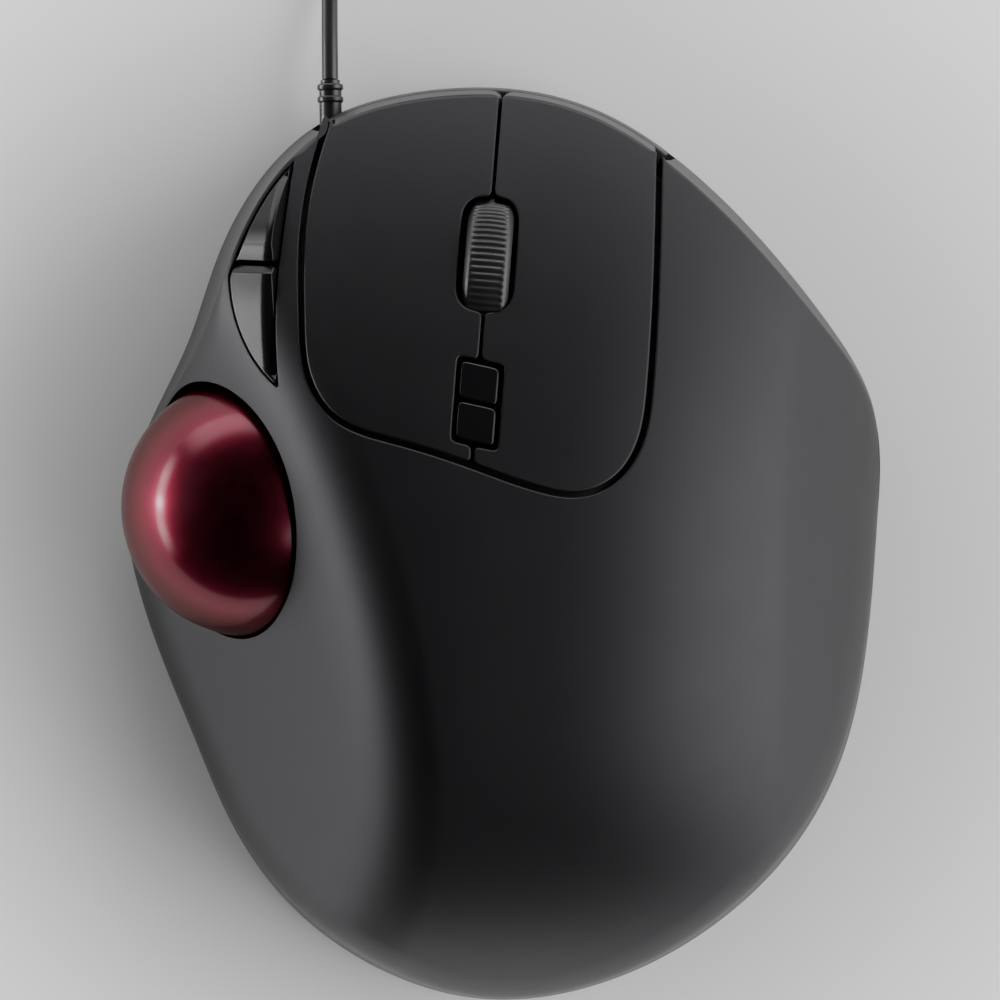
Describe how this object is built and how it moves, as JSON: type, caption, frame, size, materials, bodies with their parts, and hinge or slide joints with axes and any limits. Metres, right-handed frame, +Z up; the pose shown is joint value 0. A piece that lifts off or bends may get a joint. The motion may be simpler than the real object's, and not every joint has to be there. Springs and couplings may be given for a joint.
{
  "type": "trackball mouse",
  "caption": "Wired thumb trackball mouse with an arched palm case, a glossy ball in an open socket, two main keys, a wheel and small glossy keys.",
  "frame": {"origin": "on the table under the middle of the case's footprint", "axes": "+Y to the cable end and along the scroll wheel's rolling direction, +X to the finger side, -X to the thumb side, +Z up"},
  "size_m": [0.1007, 0.1889, 0.0492],
  "materials": {
    "soft_touch": "soft-touch matt charcoal paint",
    "key_plastic": "soft-touch matt, nearly black",
    "gloss_black": "polished black",
    "ball_red": "clear-coated wine red",
    "black_plastic": "fine texture",
    "tyre_rubber": "ribbed, matt",
    "foot_rubber": "matt",
    "cable_jacket": "smooth PVC",
    "grey_plastic": "fine texture",
    "white_plastic": "natural nylon",
    "red_plastic": "plain",
    "board_green": "solder mask",
    "chip_black": "epoxy",
    "lens_clear": "clear acrylic",
    "ceramic_bead": "polished ceramic",
    "steel": "zinc plated",
    "nickel": "nickel plated",
    "label": "blank foil label",
    "tie_fabric": "hook and loop"
  },
  "bodies": {
    "root": {"top_shell": "soft_touch", "base_plate": "black_plastic", "key_frame": "black_plastic", "left_switch": "chip_black", "right_switch": "chip_black", "dpi_front_switch": "chip_black", "dpi_rear_switch": "chip_black", "forward_switch": "chip_black", "back_switch": "chip_black", "dpi_board": "board_green", "side_switch_board": "board_green", "ball_cup": "black_plastic", "ball_bearings": "ceramic_bead", "sensor_lens": "lens_clear", "sensor_chip": "chip_black", "sensor_board": "board_green", "main_board": "board_green", "controller_chip": "chip_black", "cable_connector": "white_plastic", "wheel_encoder": "grey_plastic", "middle_switch": "chip_black", "carriage_spring": "steel", "rubber_feet": "foot_rubber", "rating_label": "label", "case_screws": "steel", "frame_screws": "steel", "board_screws": "steel", "strain_relief": "cable_jacket", "cable": "cable_jacket", "cable_coil": "cable_jacket", "cable_tie": "tie_fabric", "usb_plug_body": "cable_jacket", "usb_plug_shell": "nickel", "usb_plug_insert": "white_plastic"},
    "left_key": {"left_button": "key_plastic"},
    "right_key": {"right_button": "key_plastic"},
    "left_plunger": {"left_switch_plunger": "red_plastic"},
    "right_plunger": {"right_switch_plunger": "red_plastic"},
    "dpi_front_key": {"dpi_front_button": "gloss_black"},
    "dpi_rear_key": {"dpi_rear_button": "gloss_black"},
    "dpi_front_plunger": {"dpi_front_switch_plunger": "white_plastic"},
    "dpi_rear_plunger": {"dpi_rear_switch_plunger": "white_plastic"},
    "forward_key": {"forward_button": "gloss_black"},
    "back_key": {"back_button": "gloss_black"},
    "forward_plunger": {"forward_switch_plunger": "white_plastic"},
    "back_plunger": {"back_switch_plunger": "white_plastic"},
    "carriage": {"wheel_carriage": "grey_plastic"},
    "middle_plunger": {"middle_switch_plunger": "red_plastic"},
    "wheel": {"scroll_wheel_hub": "grey_plastic", "scroll_wheel_tyre": "tyre_rubber"},
    "ball": {"trackball": "ball_red"}
  },
  "joints": [
    {"name": "left_press", "type": "hinge", "parent": "root", "child": "left_key", "pos_m": [-0.016, 0.019, 0.0365], "axis": [-1, 0, 0], "range_deg": [0, 0.9], "stiffness_Nm_per_rad": 0.4, "springref_deg": -3.44},
    {"name": "left_plunger_slide", "type": "slide", "parent": "root", "child": "left_plunger", "axis": [0, 0, -1], "range_m": [0, 0.000401]},
    {"name": "right_press", "type": "hinge", "parent": "root", "child": "right_key", "pos_m": [0.008, 0.019, 0.0365], "axis": [-1, 0, 0], "range_deg": [0, 0.9], "stiffness_Nm_per_rad": 0.4, "springref_deg": -3.44},
    {"name": "right_plunger_slide", "type": "slide", "parent": "root", "child": "right_plunger", "axis": [0, 0, -1], "range_m": [0, 0.000401]},
    {"name": "dpi_front_press", "type": "slide", "parent": "root", "child": "dpi_front_key", "axis": [0, 0, -1], "range_m": [0, 0.0003], "stiffness_N_per_m": 800, "springref_m": -0.0005},
    {"name": "dpi_front_plunger_slide", "type": "slide", "parent": "root", "child": "dpi_front_plunger", "axis": [0, 0, -1], "range_m": [0, 0.0003]},
    {"name": "dpi_rear_press", "type": "slide", "parent": "root", "child": "dpi_rear_key", "axis": [0, 0, -1], "range_m": [0, 0.0003], "stiffness_N_per_m": 800, "springref_m": -0.0005},
    {"name": "dpi_rear_plunger_slide", "type": "slide", "parent": "root", "child": "dpi_rear_plunger", "axis": [0, 0, -1], "range_m": [0, 0.0003]},
    {"name": "forward_press", "type": "slide", "parent": "root", "child": "forward_key", "axis": [0.4311, 0, -0.9023], "range_m": [0, 0.0004], "stiffness_N_per_m": 800, "springref_m": -0.0005},
    {"name": "forward_plunger_slide", "type": "slide", "parent": "root", "child": "forward_plunger", "axis": [0.4311, 0, -0.9023], "range_m": [0, 0.0004]},
    {"name": "back_press", "type": "slide", "parent": "root", "child": "back_key", "axis": [0.4311, 0, -0.9023], "range_m": [0, 0.0004], "stiffness_N_per_m": 800, "springref_m": -0.0005},
    {"name": "back_plunger_slide", "type": "slide", "parent": "root", "child": "back_plunger", "axis": [0.4311, 0, -0.9023], "range_m": [0, 0.0004]},
    {"name": "wheel_press", "type": "hinge", "parent": "root", "child": "carriage", "pos_m": [0.004, 0.0333, 0.0297], "axis": [0, -1, 0], "range_deg": [0, 1.4], "stiffness_Nm_per_rad": 0.25, "springref_deg": -4.58, "deforming": ["carriage_spring"]},
    {"name": "middle_plunger_slide", "type": "slide", "parent": "root", "child": "middle_plunger", "axis": [0, 0, -1], "range_m": [0, 0.0004]},
    {"name": "wheel_spin", "type": "hinge", "parent": "carriage", "child": "wheel", "pos_m": [-0.0044, 0.0333, 0.0297], "axis": [1, 0, 0], "continuous": true},
    {"name": "ball_roll", "type": "hinge", "parent": "root", "child": "ball", "pos_m": [-0.0327, 0.0026, 0.024], "axis": [0.9397, 0, 0.342], "continuous": true}
  ],
  "couplings": [
    {"joint": "left_plunger_slide", "follows": "left_press", "m_per_rad": 0.025},
    {"joint": "right_plunger_slide", "follows": "right_press", "m_per_rad": 0.025},
    {"joint": "dpi_front_plunger_slide", "follows": "dpi_front_press", "ratio": 1},
    {"joint": "dpi_rear_plunger_slide", "follows": "dpi_rear_press", "ratio": 1},
    {"joint": "forward_plunger_slide", "follows": "forward_press", "ratio": 1},
    {"joint": "back_plunger_slide", "follows": "back_press", "ratio": 1},
    {"joint": "middle_plunger_slide", "follows": "wheel_press", "m_per_rad": 0.0159}
  ]
}
